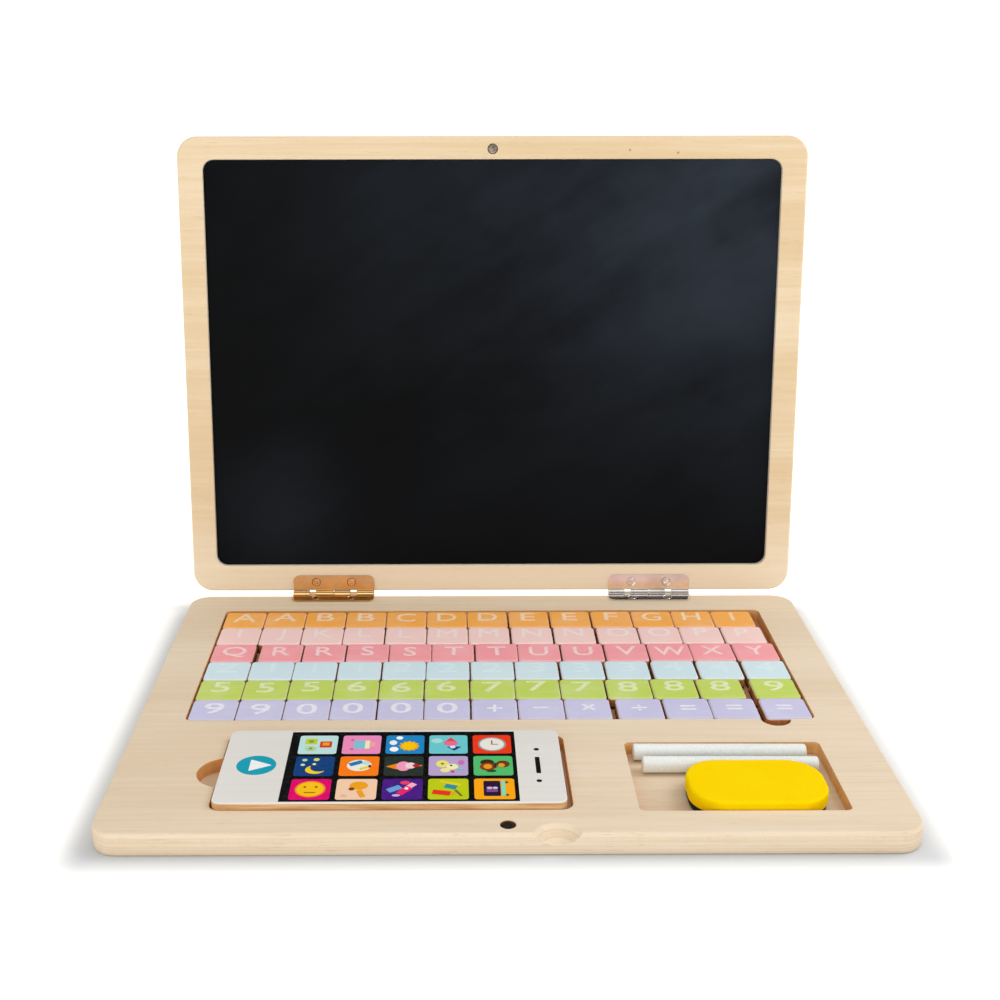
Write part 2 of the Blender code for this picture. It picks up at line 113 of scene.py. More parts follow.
LID_FACE, LID_LAYER, LID_BACK = 0.9 * MM, 6.9 * MM, 10.9 * MM
LID_NEAR = -1.3 * MM
WINDOW = (-151.9 * MM, 151.9 * MM, -234.5 * MM, -15.6 * MM)
WINDOW_R = 5.8 * MM
CHALKBOARD_Z = (3.45 * MM, 6.75 * MM)
LID_MAGNET_Y = -239.7 * MM
BASE_VENEER = ("#ECDAC1", "#E3CDAF")       # pale and deep tones of the wood
# the lid's wood, a little deeper than the base's, as painted shade against the lid's stronger
# light
LID_VENEER_SHADED = ("#E7D2B2", "#DCC198")
SHADED_CUT_WALLS = ("#F4C080", "#D69854")          # walls cut right through the base, painted warmer and darker as shade and bounced light in the recesses
WINDOW_RIM_HIGHLIGHT = ("#F6EDDD", "#EBDAC0")            # edge of the lid's window, painted near-white as a highlight along its rim
KNOTS = ((71.6 * MM, -239.0 * MM), (96.8 * MM, -237.6 * MM))
BASE_GLUE_LINES = [z * MM for z in (1.35, 2.65, 4.0, 6.0, 8.0)]
LID_GLUE_LINES = [z * MM for z in (2.9, 4.9, 6.9, 8.2, 9.6)]
BASE_CORE, LID_CORE = 6.0 * MM, 2.9 * MM   # where the ply with its grain across starts
CORE_T = 2 * MM
PLY_STACK = 12 * MM           # height over which the glue lines are laid out
GLUE_HALF = 0.022             # half a glue line, as a share of PLY_STACK

HINGE_X = {"left": -87.3 * MM, "right": 87.3 * MM}
LEAF_W, LEAF_REACH, LEAF_R, LEAF_T = 44.7 * MM, 10.2 * MM, 3.6 * MM, 0.55 * MM
LEAF_OFFSET = 0.1 * MM
BARREL_R, BORE_R, PIN_R = 1.75 * MM, 1.05 * MM, 0.8 * MM
BASE_KNUCKLES = ((0, 9 * MM), (22.5 * MM, 31.5 * MM))
LID_KNUCKLES = ((12.4 * MM, 22.2 * MM), (34.9 * MM, LEAF_W))
SCREW_X, SCREW_FROM_AXIS, SCREW_L = 9.7 * MM, 6.3 * MM, 5.6 * MM
SCREW_HEAD_R, HEAD_SLACK = 2.1 * MM, 0.35 * MM

hinge_joint = next(j for j in frame["joints"] if j["name"] == "lid_hinge")
HINGE_AXIS = Vector(hinge_joint["pos_m"])
OPEN_ANGLE = math.radians(hinge_joint["range_deg"][0])
LID_OPEN = Matrix.Translation(HINGE_AXIS) @ Matrix.Rotation(OPEN_ANGLE, 4, "X")

ROWS = {                      # from the hinge side to the player
    "orange": "AABBCDDEEFGHI",
    "peach": "IJKLLMMNNOOPP",
    "pink": "QRRSSTTUUVWXY",
    "blue": "Z111222333444",
    "green": "5556667778889",
    "violet": "990000+−×÷===",
}
ROW_GAPS = {                  # extra gap in millimetres before a tile, counted from 0
    "orange": {7: 0.5, 8: 0.6, 9: 0.5, 10: 0.2},
    "peach": {4: 0.3, 7: 0.8, 8: 0.6, 9: 1.0, 10: 0.3, 12: 0.4},
    "pink": {1: 2.4, 2: 0.4, 3: 0.4, 6: 0.4, 8: 0.4, 9: 0.6, 10: 0.4, 12: 0.4},
    "blue": {3: 0.3, 4: 0.3, 6: 0.3, 7: 0.3, 8: 0.7, 9: 0.8, 10: 1.4, 11: 0.8, 12: 1.2},
    "green": {5: 0.2, 6: 0.2, 9: 0.4, 10: 0.2, 11: 0.5, 12: 4.3},
    "violet": {4: 0.3, 6: 0.4, 7: 0.2, 9: 2.5, 10: 0.6},
}
GLYPH_RISE = {                # how far above a tile's middle each row was printed
    "orange": 3.0 * MM, "peach": 3.2 * MM, "pink": 1.4 * MM,
    "blue": 3.2 * MM, "green": 2.6 * MM, "violet": 1.0 * MM,
}
GLYPH_WIDTHS = {              # how much wider than the font's own
    **dict.fromkeys("0123456789", 1.45), **dict.fromkeys("BEF", 1.3), "A": 1.2,
    **dict.fromkeys("WXY+−×÷=", 1.0),
}
GLYPH_WIDTH = 1.1             # for all others
STROKE_SWELL = 0.12 * MM      # added to each side of a stroke
ROW_COLORS = {                # paint and ink
    "orange": ("#FFB14A", "#FDE2C4"),
    "peach": ("#FDD6D1", "#FBE9E5"),
    "pink": ("#FCA2A9", "#FDDEDF"),
    "blue": ("#D4EBF3", "#DEF1F5"),
    "green": ("#C4DA5E", "#E6EFC4"),
    "violet": ("#CBC9EA", "#F0EEF8"),
}

# --- lights and camera -------------------------------------------------------------------------
LIGHTS = (                    # name, place, size, watts, aim
    ("right_softbox", (0.95, 0.1, 1.05), 0.7, 6.5, (0, 0, 0.05)),
    ("overhead_softbox", (0, 0.25, 1.5), 1.0, 2.5, (0, 0, 0)),
    ("front_fill", (-0.5, -1.5, 0.4), 1.2, 7.8, (0, 0.05, 0.03)),
)
WORLD_COLOR, WORLD_STRENGTH = (1.0, 0.985, 0.965, 1), 0.63
SEEN_WORLD_COLOR, SEEN_WORLD_STRENGTH = (1, 1, 1, 1), 1.05
FLOOR_REACH, CURTAIN_REACH = 4, 1
CURTAIN_Y, CURTAIN_Z = -2.2, 1.8
CAMERA_PLACE = (-0.0222, -0.6032, 0.3065)
CAMERA_TURN = [math.radians(angle) for angle in (71.65, 0.07, -0.24)]
CAMERA_LENS, CAMERA_SENSOR, CAMERA_SHIFT = 50.73, 36.0, 0.0439


# --- shader maths ------------------------------------------------------------------------------
def paint(code):
    """A paint-chart code such as #F0A64E as linear colour."""
    channels = [int(code[i:i + 2], 16) / 255 for i in (1, 3, 5)]
    return (*(c / 12.92 if c <= 0.04045 else ((c + 0.055) / 1.055) ** 2.4 for c in channels), 1.0)


class Wire:
    """An output of a material's node; arithmetic on it adds Math nodes."""

    def __init__(self, tree, socket):
        self.tree, self.socket = tree, socket

    def node(self, kind, settings, inputs, output=0):
        """A new node in the same material: its settings first, then its values, as numbers or
        paint-chart codes, and links."""
        made = self.tree.nodes.new(kind)
        for name, value in settings.items():
            if name == "stops":
                set_stops(made.color_ramp, value)
            else:
                setattr(made, name, value)
        for key, value in inputs.items():
            if isinstance(value, Wire):
                self.tree.links.new(value.socket, made.inputs[key])
            else:
                value = paint(value) if isinstance(value, str) else value
                made.inputs[key].default_value = value
        return Wire(self.tree, made.outputs[output])

    def math(self, operation, *values):
        return self.node("ShaderNodeMath", {"operation": operation}, dict(enumerate(values)))

    def __add__(self, other):
        return self.math("ADD", self, other)

    __radd__ = __add__

    def __sub__(self, other):
        return self.math("SUBTRACT", self, other)

    def __rsub__(self, other):
        return self.math("SUBTRACT", other, self)

    def __mul__(self, other):
        return self.math("MULTIPLY", self, other)

    __rmul__ = __mul__

    def __abs__(self):
        return self.math("ABSOLUTE", self)

    def root(self):
        return self.math("SQRT", self)

    def at_least(self, level):
        return self.math("MAXIMUM", self, level)

    def ramp(self, *stops):
        """Grey levels at positions along 0 to 1, as (position, level)."""
        return self.node("ShaderNodeValToRGB",
                         {"stops": [(at, (level, level, level, 1)) for at, level in stops]},
                         {"Fac": self})

    def between(self, low, high):
        """0 below low, 1 above high, smooth between them."""
        return self.node("ShaderNodeMapRange", {"interpolation_type": "SMOOTHSTEP"},
                         {"Value": self, "From Min": low, "From Max": high})

    def stretched(self, x, y, z):
        return self.node("ShaderNodeVectorMath", {"operation": "MULTIPLY"},
                         {0: self, 1: (x, y, z)})

    def distance(self, point):
        return self.node("ShaderNodeVectorMath", {"operation": "DISTANCE"},
                         {0: self, 1: point}, "Value")

    def noise(self, scale, detail=3.0, roughness=0.55):
        return self.node("ShaderNodeTexNoise", {}, {"Vector": self, "Scale": scale,
                                                    "Detail": detail, "Roughness": roughness})

    def axis(self, letter):
        return self.node("ShaderNodeSeparateXYZ", {}, {0: self}, letter)

    def tint(self, low, high):
        """Colour low where this is 0 and high where it is 1."""
        return self.node("ShaderNodeMix", {"data_type": "RGBA"}, {0: self, 6: low, 7: high}, 2)


def set_stops(ramp, stops):
    while len(ramp.elements) < len(stops):
        ramp.elements.new(0.5)
    for element, (position, color) in zip(ramp.elements, stops):
        element.position = position
        element.color = color


class Finish:
    """A material with one Principled shader, whose even values are set as it is made."""

    def __init__(self, name, **even):
        self.material = bpy.data.materials.new(name)
        self.material.use_nodes = True
        self.tree = self.material.node_tree
        self.shader = self.tree.nodes["Principled BSDF"]
        for socket, value in even.items():
            self.shader.inputs[socket.replace("_", " ")].default_value = value
        places = self.tree.nodes.new("ShaderNodeTexCoord")
        self.place = Wire(self.tree, places.outputs["Object"])

    def feed(self, **wires):
        for socket, wire in wires.items():
            self.tree.links.new(wire.socket, self.shader.inputs[socket.replace("_", " ")])

    def bump(self, height, depth):
        """Relief of this depth in metres where height is 1."""
        self.feed(Normal=height.node("ShaderNodeBump", {}, {"Height": height, "Distance": depth}))


# --- finishes ----------------------------------------------------------------------------------
def wood_grain(place):
    """Pale basswood with its grain along X: (streaks, flecks) from 0 to 1."""
    drift = place.stretched(3, 26, 26).noise(1.0, 2.0)
    streaks = place.stretched(14, 420, 420).noise(1.0, 5.0, 0.6)
    flecks = place.stretched(120, 2600, 2600).noise(1.0, 2.0, 0.5).between(0.66, 0.74)
    return drift * 0.55 + streaks * 0.45, flecks


def plywood(name, swung, pale, deep):
    """Plywood of base or lid, between a pale and a deep tone; swung turns the grain with the
    open lid."""
    finish = Finish(name, Specular_IOR_Level=0.3)
    place = finish.place
    if swung:
        place = place.node("ShaderNodeMapping", {"vector_type": "TEXTURE"},
                           {"Vector": place, "Location": HINGE_AXIS,
                            "Rotation": (OPEN_ANGLE, 0, 0)})
    grain, flecks = wood_grain(place)
    color = grain.between(0.36, 0.66).tint(deep, pale)
    color = (flecks * 0.35).tint(color, "#B98B5A")

    # plies and glue lines, which show only on the edges
    height = place.axis("Z")
    levels = [(0.0, 0.0)]
    for z in LID_GLUE_LINES if swung else BASE_GLUE_LINES:
        middle = z / PLY_STACK
        levels += [(middle - GLUE_HALF, 0.0), (middle, 1.0), (middle + GLUE_HALF, 0.0)]
    glue = (height * (1 / PLY_STACK)).ramp(*levels)
    bottom = LID_CORE if swung else BASE_CORE
    top = bottom + CORE_T
    core = height.between(bottom, bottom + 0.1 * MM)
    core = core * (1 - height.between(top - 0.1 * MM, top))
    fibres = place.stretched(900, 900, 60).noise(1.0, 3.0).between(0.3, 0.7)
    color = (core * (0.08 + fibres * 0.14)).tint(color, "#CFAE82")
    color = (glue * 0.2).tint(color, "#A98560")
    if swung:
        # the frame's face is painted paler by the hinges as painted light, and has two small knots
        # at its far end
        painted_light_by_hinge = place.axis("Y").between(-50 * MM, -8 * MM)
        frame_only = 1 - height.between(LID_LAYER - 2 * MM, LID_LAYER)
        color = (painted_light_by_hinge * frame_only * 0.5).tint(color, "#FAEAD2")
        for x, y in KNOTS:
            away = place.distance((x, y, LID_FACE))
            color = ((1 - away.between(0.35 * MM, 0.9 * MM)) * 0.6).tint(color, "#8C5F38")
    else:
        # the floor under the tiles is painted orange-brown, as painted bounce light and shade in
        # the gaps between them
        floor = height.between(LAYER_LINE - 0.2 * MM, LAYER_LINE - 0.1 * MM)
        floor = floor * (1 - height.between(LAYER_LINE + 0.1 * MM, LAYER_LINE + 0.2 * MM))
        painted_bounce_under_tiles = floor * place.axis("Y").between(KEYS[2] - MM, KEYS[2])
        color = (painted_bounce_under_tiles * 0.6).tint(color, "#D0883A")
    relief = grain * 0.6 + flecks * -0.8 + glue * -0.5
    finish.feed(Base_Color=color, Roughness=0.54 + grain * 0.16)
    finish.bump(relief, 0.05 * MM)
    return finish.material


def tile_finish(color_name):
    """Matt paint over wood: bare, scorched sides, and a painted highlight that lightens the eased
    top rims.
    """
    finish = Finish(f"tile_paint_{color_name}", Specular_IOR_Level=0.35)
    place = finish.place
    coat, _ = ROW_COLORS[color_name]
    grain = place.stretched(60, 700, 700).noise(1.0, 4.0, 0.6)
    cloud = place.noise(55, 2.0)
    height = place.axis("Z")
    rim_highlight = 1 - height.between(9.1 * MM, 9.97 * MM)
    color = (cloud.between(0.35, 0.9) * 0.14).tint(coat, "#FFFFFF")
    color = (grain.between(0.45, 0.75) * 0.10).tint(color, "#FFF6EA")
    # painted highlight: the eased rims are lightened towards white
    color = (rim_highlight * 0.5).tint(color, "#FFEFE4")
    ragged = height + grain * (0.5 * MM)
    bare = 1 - ragged.between(8.95 * MM, 9.2 * MM)
    scorch = place.stretched(300, 300, 90).noise(1.0, 3.0).between(0.25, 0.75)
    sides = scorch.tint("#8A4E1E", "#D08C46")
    color = bare.tint(color, sides)
    finish.feed(Base_Color=color, Roughness=0.42 + cloud * 0.2 + bare * 0.15)
    finish.bump(grain + cloud * 0.5, 0.04 * MM)
    return finish.material


def ink_finish(color_name):
    """Thin white screen print that lets some of the paint below through."""
    coat, ink = ROW_COLORS[color_name]
    finish = Finish(f"tile_ink_{color_name}", Roughness=0.5, Specular_IOR_Level=0.3)
    patches = finish.place.noise(420, 3.0, 0.6).between(0.42, 0.72)
    finish.feed(Base_Color=(patches * 0.35).tint(ink, coat))
    finish.bump(patches, 0.01 * MM)
    return finish.material


def chalkboard_finish():
    """Blackboard paint with wiped chalk dust in it, and a painted reflection that lightens it
    towards the upper right.
    """
    finish = Finish("chalkboard_paint", Specular_IOR_Level=0.04)
    place = finish.place
    clouds = place.stretched(7, 7, 9).noise(1.0, 4.0, 0.55)
    wipes = place.node("ShaderNodeMapping", {}, {"Vector": place, "Rotation": (0, 0.55, 0)})
    wipes = wipes.stretched(8, 20, 24).noise(1.0, 5.0, 0.6)
    sheen_up = place.axis("Z").between(20 * MM, 260 * MM)
    right = place.axis("X").between(-160 * MM, 200 * MM)
    # painted reflection: the dust is made much stronger towards the upper right, so this mask is
    # both dust and painted sheen
    dust = (clouds * 0.6 + wipes * 0.4).between(0.25, 0.7) * (0.06 + sheen_up * right * 0.94)
    smudge = place.distance((-115 * MM, HINGE_AXIS.y, 55 * MM))
    dust = dust + (1 - smudge.between(0, 60 * MM)) * wipes * 0.3
    specks = place.noise(2300, 2.0, 0.5).between(0.70, 0.80)
    color = dust.tint("#060606", "#363E49")
    color = (specks * 0.06).tint(color, "#8C929A")
    finish.feed(Base_Color=color, Roughness=0.5 + dust * 0.3)
    finish.bump(place.noise(3200, 2.0) * 0.6 + dust * 0.4, 0.03 * MM)
    return finish.material


def nickel_finish():
    """Bright plate, with a painted warm reflection of the wood that browns the left hinge."""
    finish = Finish("nickel_plate", Metallic=1.0)
    place = finish.place
    smears = place.noise(90, 3.0, 0.6)
    lines = place.stretched(60, 3500, 3500).noise(1.0, 3.0, 0.6)
    spots = place.noise(700, 2.0).between(0.62, 0.72)
    # painted reflection: warm brown on the left hinge fading to white on the right one
    painted_reflection_rightward = place.axis("X").between(HINGE_X["left"], HINGE_X["right"])
    tone = painted_reflection_rightward.tint("#DCB074", "#F8F4F1")
    color = (smears.between(0.35, 0.75) * 0.25 + spots * 0.2).tint(tone, "#9C8B76")
    finish.feed(Base_Color=color, Roughness=0.06 + smears * 0.14 + lines * 0.06)
    finish.bump(lines * 0.3 + smears, 0.006 * MM)
    return finish.material


def magnet_finish(name, light, dark):
    finish = Finish(name, Metallic=0.85)
    place = finish.place
    scuffs = place.noise(900, 4.0, 0.65).between(0.4, 0.7)
    color = scuffs.tint(dark, light)
    finish.feed(Base_Color=color, Roughness=0.32 + scuffs * 0.25)
    finish.bump(scuffs, 0.03 * MM)
    return finish.material


def magnetic_sheet_finish():
    finish = Finish("magnetic_sheet", Specular_IOR_Level=0.3)
    crumbs = finish.place.noise(1600, 3.0, 0.6)
    ribs = finish.place.node("ShaderNodeTexWave", {"bands_direction": "X"},
                             {"Vector": finish.place, "Scale": 160.0, "Distortion": 0.6})
    finish.feed(Base_Color=crumbs.tint("#2B2420", "#463B33"), Roughness=0.7 + crumbs * 0.2)
    finish.bump(ribs * 0.5 + crumbs, 0.03 * MM)
    return finish.material


def phone_finish():
    """Wood with a satin white print over its face and eased edges."""
    finish = Finish("phone_block", Specular_IOR_Level=0.45)
    place = finish.place
    grain, flecks = wood_grain(place)
    fibres = place.stretched(40, 300, 900).noise(1.0, 4.0, 0.6)
    wood = fibres.between(0.3, 0.7).tint("#CB9458", "#EBC694")
    wood = (flecks * 0.5).tint(wood, "#8E5E35")
    printed = (place.axis("Z") + fibres * (0.12 * MM)).between(12.46 * MM, 12.56 * MM)
    white = (grain.between(0.35, 0.65) * 0.5).tint("#E4E1DC", "#F0EEEA")
    finish.feed(Base_Color=printed.tint(wood, white), Roughness=0.6 - printed * 0.22)
    finish.bump(grain, 0.03 * MM)
    return finish.material


def print_finish():
    """Printed pictures: each shape's own ink, with the fine unevenness of a screen print."""
    finish = Finish("phone_print", Roughness=0.42, Specular_IOR_Level=0.06)
    ink = finish.place.node("ShaderNodeAttribute", {"attribute_name": "ink"}, {}, "Color")
    mottle = finish.place.noise(520, 3.0, 0.6).between(0.35, 0.8)
    finish.feed(Base_Color=(mottle * 0.012).tint(ink, "#FFFFFF"))
    finish.bump(mottle, 0.01 * MM)
    return finish.material


def chalk_finish():
    finish = Finish("chalk", Roughness=0.95, Specular_IOR_Level=0.15)
    place = finish.place
    powder = place.noise(900, 4.0, 0.7)
    rubs = place.stretched(30, 500, 500).noise(1.0, 3.0)
    color = powder.between(0.3, 0.75).tint("#E6E9E4", "#F2F7F7")
    color = (rubs.between(0.5, 0.7) * 0.4).tint(color, "#D3E2E4")
    finish.feed(Base_Color=color)
    finish.bump(powder + rubs * 0.5, 0.05 * MM)
    return finish.material


def foam_finish():
    """Closed-cell foam, skinned on top and cut at the sides."""
    finish = Finish("eraser_foam", Roughness=0.9, Specular_IOR_Level=0.03)
    place = finish.place
    cells = place.node("ShaderNodeTexVoronoi", {"feature": "F1"},
                       {"Vector": place, "Scale": 2400.0})
    cloud = place.noise(60, 3.0)
    color = cloud.between(0.35, 0.7).tint("#FFD800", "#FFDC04")
    color = (cells.between(0.2, 0.9) * 0.12).tint(color, "#E7B300")
    finish.feed(Base_Color=color)
    finish.bump(cells, 0.06 * MM)
    return finish.material


def felt_finish():
    finish = Finish("eraser_felt", Roughness=1.0, Specular_IOR_Level=0.05, Sheen_Weight=0.1,
                    Sheen_Roughness=0.5)
    place = finish.place
    hairs = place.noise(1500, 5.0, 0.75)
    dust = place.noise(240, 3.0).between(0.58, 0.75)
    color = hairs.tint("#050505", "#181717")
    finish.feed(Base_Color=(dust * 0.12).tint(color, "#6D6A66"))
    finish.bump(hairs, 0.35 * MM)
    return finish.material


def floor_finish():
    """White floor with painted light: it glows, less close around the toy, where a painted grey
    shadow lies.
    """
    finish = Finish("studio_floor", Roughness=0.8, Specular_IOR_Level=0.1, Emission_Strength=1.0)
    place = finish.place
    cloud = place.noise(3, 2.0)
    beside = (abs(place.axis("X")) - BOARD_W / 2).at_least(0)
    before = (abs(place.axis("Y")) - BOARD_D / 2).at_least(0)
    away = (beside * beside + before * before).root()
    clean = cloud.tint("#F4F5F4", "#F7F8F7")
    # painted light and shadow: the floor glows away from the toy and is painted grey close around
    # it
    painted_floor_glow = away.between(2 * MM, 34 * MM).tint((0.03, 0.03, 0.03, 1), (0.6, 0.6, 0.6, 1))
    finish.feed(Base_Color=away.between(0, 14 * MM).tint("#D3D7DB", clean), Emission_Color=painted_floor_glow)
    return finish.material


def curtain_finish():
    """Dark cloth behind the camera, which only shines back from bright metal."""
    finish = Finish("dark_curtain", Roughness=0.9, Specular_IOR_Level=0.1)
    folds = finish.place.stretched(6, 6, 0.5).noise(1.0, 2.0)
    finish.feed(Base_Color=folds.tint("#0A0806", "#2A1D14"))
    return finish.material


# --- shaping -----------------------------------------------------------------------------------
def slab(x0, x1, y0, y1, z0, z1, corner=0.0, steps=8):
    """A board with rounded corners in plan."""
    bm = bmesh.new()
    bmesh.ops.create_grid(bm, x_segments=1, y_segments=1, size=0.5)
    bmesh.ops.scale(bm, verts=bm.verts, vec=(x1 - x0, y1 - y0, 1))
    bmesh.ops.translate(bm, verts=bm.verts, vec=((x0 + x1) / 2, (y0 + y1) / 2, z0))
    if corner:
        bmesh.ops.bevel(bm, geom=bm.verts[:], offset=corner, offset_type="OFFSET",
                        segments=steps, profile=0.5, affect="VERTICES", material=-1)
    raise_faces(bm, z1 - z0)
    return bm


def disc(x, y, radius, z0, z1, sides=48):
    bm = bmesh.new()
    bmesh.ops.create_circle(bm, cap_ends=True, segments=sides, radius=radius)
    bmesh.ops.translate(bm, verts=bm.verts, vec=(x, y, z0))
    raise_faces(bm, z1 - z0)
    return bm


def raise_faces(bm, height):
    """Give a flat outline its thickness."""
    raised = bmesh.ops.extrude_face_region(bm, geom=bm.faces[:])["geom"]
    top = [v for v in raised if isinstance(v, bmesh.types.BMVert)]
    bmesh.ops.translate(bm, verts=top, vec=(0, 0, height))
    bmesh.ops.recalc_face_normals(bm, faces=bm.faces)


def ease(bm, z, width, segments):
    """Round the sharp rims that lie at height z."""
    rims = [
        e for e in bm.edges
        if all(abs(v.co.z - z) < 1e-6 for v in e.verts)
        and e.calc_face_angle(0) > SHARP_RIM
    ]
    bmesh.ops.bevel(bm, geom=rims, offset=width, offset_type="OFFSET", segments=segments,
                    profile=0.5, affect="EDGES", material=-1, loop_slide=False)


def spun(profile, steps=48):
    """(radius, z) points turned about Z; the profile starts and ends on the axis."""
    bm = bmesh.new()
    verts = [bm.verts.new((r, 0, z)) for r, z in profile]
    edges = [bm.edges.new(pair) for pair in zip(verts, verts[1:])]
    bmesh.ops.spin(bm, geom=verts + edges, axis=(0, 0, 1), cent=(0, 0, 0), angle=2 * math.pi,
                   steps=steps, use_merge=True)
    bmesh.ops.remove_doubles(bm, verts=bm.verts, dist=1e-7)
    bmesh.ops.recalc_face_normals(bm, faces=bm.faces)
    return bm


def turned(bm, angle, axis="Z"):
    bmesh.ops.rotate(bm, verts=bm.verts, matrix=Matrix.Rotation(angle, 3, axis))
    return bm


def along_x(bm):
    """Lay a spun piece down so that its axis points along +X."""
    return turned(bm, math.pi / 2, "Y")


def shifted(bm, x=0.0, y=0.0, z=0.0):
    bmesh.ops.translate(bm, verts=bm.verts, vec=(x, y, z))
    return bm


def as_mesh(bm, name):
    mesh = bpy.data.meshes.new(name)
    bm.to_mesh(mesh)
    bm.free()
    return mesh


def new_object(name, data):
    obj = bpy.data.objects.new(name, data)
    bpy.context.collection.objects.link(obj)
    return obj


def merged(*parts):
    whole = bmesh.new()
    for part in parts:
        mesh = as_mesh(part, "part")
        whole.from_mesh(mesh)
        bpy.data.meshes.remove(mesh)
    return whole


def carved(bm, cutters, finishes=(), operation="DIFFERENCE"):
    """bm with each cutter taken out, or welded on, by an exact Boolean; cut walls take the last
    finish."""
    block = new_object("block", as_mesh(bm, "block"))
    for finish in finishes:
        block.data.materials.append(finish)
    tools = []
    for cutter in cutters:
        tool = new_object("cutter", as_mesh(cutter, "cutter"))
        if finishes:
            tool.data.materials.append(finishes[-1])
        boolean = block.modifiers.new("cut", "BOOLEAN")
        boolean.operation, boolean.solver, boolean.object = operation, "EXACT", tool
        boolean.material_mode = "TRANSFER"
        tools.append(tool)
    bpy.context.view_layer.update()
    result = bpy.data.meshes.new_from_object(
        block.evaluated_get(bpy.context.evaluated_depsgraph_get()))
    bm = bmesh.new()
    bm.from_mesh(result)
    bmesh.ops.remove_doubles(bm, verts=bm.verts, dist=1e-6)
    bmesh.ops.dissolve_degenerate(bm, edges=bm.edges, dist=1e-6)
    for obj in [block, *tools]:
        bpy.data.objects.remove(obj, do_unlink=True)
    return bm


def piece(name, bm, finishes, body, replaces, lid=False, sharp=30, even_shading=True):
    """A finished piece: in place, shaded, riding on its body and standing for its CAD nodes."""
    if lid:
        bmesh.ops.transform(bm, verts=bm.verts, matrix=LID_OPEN)
    mesh = as_mesh(bm, name)
    for finish in finishes:
        mesh.materials.append(finish)
    mesh.shade_smooth()
    mesh.set_sharp_from_angle(angle=math.radians(sharp))
    obj = new_object(name, mesh)
    if even_shading:
        weighted = obj.modifiers.new("flat_faces_first", "WEIGHTED_NORMAL")
        weighted.keep_sharp = True
        weighted.weight = 100
    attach(obj, body)
    if replaces:
        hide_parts(*replaces)
    return obj


# --- wooden boards -----------------------------------------------------------------------------
def seat_for_screw(x, y, head_z, down):
    """The countersunk hole that a hinge screw needs in the wood."""
    slack = 0.3 * MM
    profile = [(0, 0.5 * MM), (SCREW_HEAD_R + slack, 0.5 * MM),
               (SCREW_HEAD_R + slack, -0.3 * MM), (1.0 * MM, -1.7 * MM),
               (1.0 * MM, -SCREW_L - slack), (0, -SCREW_L - slack)]
    hole = spun(profile, 24)
    if not down:
        turned(hole, math.pi, "X")
    return shifted(hole, x, y, head_z)


def board_slab(near, z0, z1):
    return slab(-BOARD_W / 2, BOARD_W / 2, near - BOARD_D, near, z0, z1, CORNER_R, 12)


def make_base():
    wood = plywood("plywood", False, *BASE_VENEER)
    walls = plywood("plywood_sawn", False, *SHADED_CUT_WALLS)
    back = BOARD_D / 2
    panel = board_slab(back, 0, LAYER_LINE)
    ease(panel, 0, EDGE_R, 4)
    piece("base_bottom_panel_ply", panel, [wood], "base", ["base_bottom_panel"])

    board = board_slab(back, LAYER_LINE, BASE_TOP)
    ease(board, BASE_TOP, EDGE_R, 4)
    below, above = LAYER_LINE - MM, BASE_TOP + MM
    scoop = bmesh.new()
    bmesh.ops.create_uvsphere(scoop, u_segments=64, v_segments=32, radius=SCOOP_R)
    head_z = HINGE_AXIS.z - LEAF_OFFSET
    cutters = [
        slab(*KEYS, below, above, KEYS_CORNER_R),
        disc(*KEY_NOTCH, below, above),
        slab(*POCKET, below, above, POCKET_R),
        disc(*PHONE_NOTCH, below, above, 64),
        slab(*TRAY, below, above, TRAY_R),
        disc(0, MAGNET_Y, 3.2 * MM, BASE_TOP - 3.1 * MM, above),
    ] + [
        seat_for_screw(x + side * SCREW_X, HINGE_AXIS.y - SCREW_FROM_AXIS, head_z, True)
        for x in HINGE_X.values() for side in (-1, 1)
    ]
    board = carved(board, cutters, [wood, walls])
    board = carved(board, [shifted(scoop, *SCOOP)], [wood, walls, wood])
    ease(board, BASE_TOP, RIM_EASE, 2)
    piece("base_frame_ply", board, [wood, walls], "base", ["base_frame"])


def make_lid():
    wood = plywood("plywood_lid", True, *LID_VENEER_SHADED)
    walls = plywood("plywood_lid_sawn", True, *WINDOW_RIM_HIGHLIGHT)
    board = board_slab(LID_NEAR, LID_FACE, LID_LAYER)
    ease(board, LID_FACE, EDGE_R, 4)
    cutters = [
        slab(*WINDOW, LID_FACE - MM, LID_LAYER + MM, WINDOW_R),
        disc(0, LID_MAGNET_Y, 2.7 * MM, LID_FACE - MM, LID_FACE + 3.1 * MM),
    ] + [
        seat_for_screw(x + side * SCREW_X, -SCREW_FROM_AXIS, LEAF_OFFSET, False)
        for x in HINGE_X.values() for side in (-1, 1)
    ]
    board = carved(board, cutters, [wood, walls])
    ease(board, LID_FACE, RIM_EASE, 2)
    piece("lid_frame_ply", board, [wood, walls], "lid", ["lid_frame"], lid=True)

    panel = board_slab(LID_NEAR, LID_LAYER, LID_BACK)
    ease(panel, LID_BACK, EDGE_R, 4)
    piece("lid_back_panel_ply", panel, [wood], "lid", ["lid_back_panel"], lid=True)

    x0, x1, y0, y1 = WINDOW
    fit = 0.3 * MM
    board = slab(x0 + fit, x1 - fit, y0 + fit, y1 - fit, *CHALKBOARD_Z, WINDOW_R - fit)
    ease(board, CHALKBOARD_Z[0], 0.15 * MM, 2)
    piece("chalkboard", board, [chalkboard_finish()], "lid", ["chalkboard_panel"],
          lid=True)


